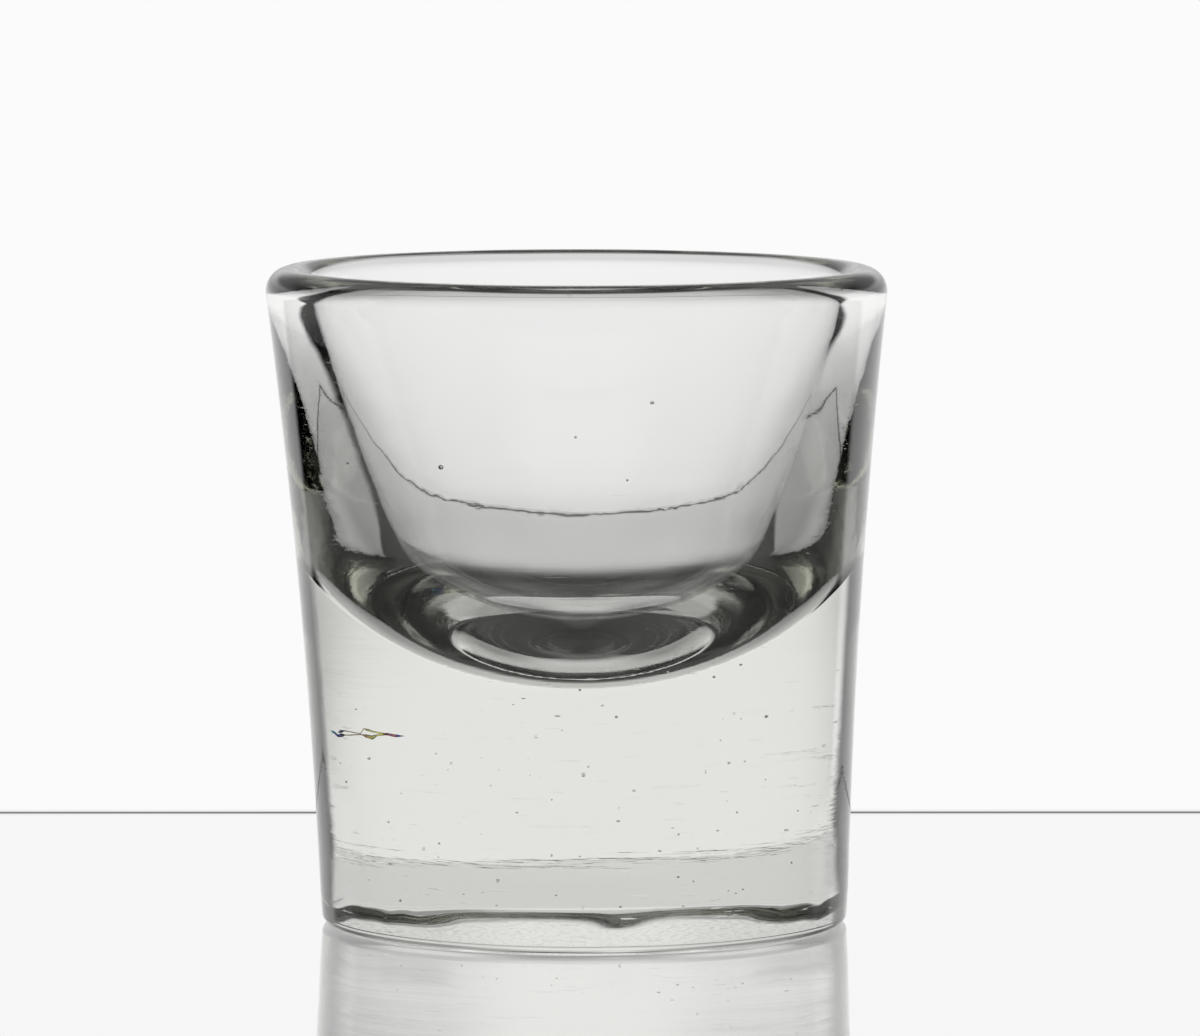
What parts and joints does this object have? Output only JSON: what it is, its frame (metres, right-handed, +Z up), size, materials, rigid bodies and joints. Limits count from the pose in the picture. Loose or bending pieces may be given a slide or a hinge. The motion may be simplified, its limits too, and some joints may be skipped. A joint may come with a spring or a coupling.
{
  "type": "genever glass",
  "caption": "Small heavy drinking glass for genever: thick-based tumbler with flared sides, a rounded bowl and a fire-polished lip.",
  "frame": {"origin": "centre of the flat foot's underside", "axes": "+Z up along the glass's axis, out of the mouth; the glass is round, so +X and +Y are free, and the front is -Y"},
  "size_m": [0.06, 0.06, 0.0634],
  "materials": {
    "clear_glass": "smooth colourless soda glass with a faint grey-green cast, fire-polished lip, ground flat foot"
  },
  "bodies": {
    "root": {"glass_body": "clear_glass"}
  },
  "joints": []
}
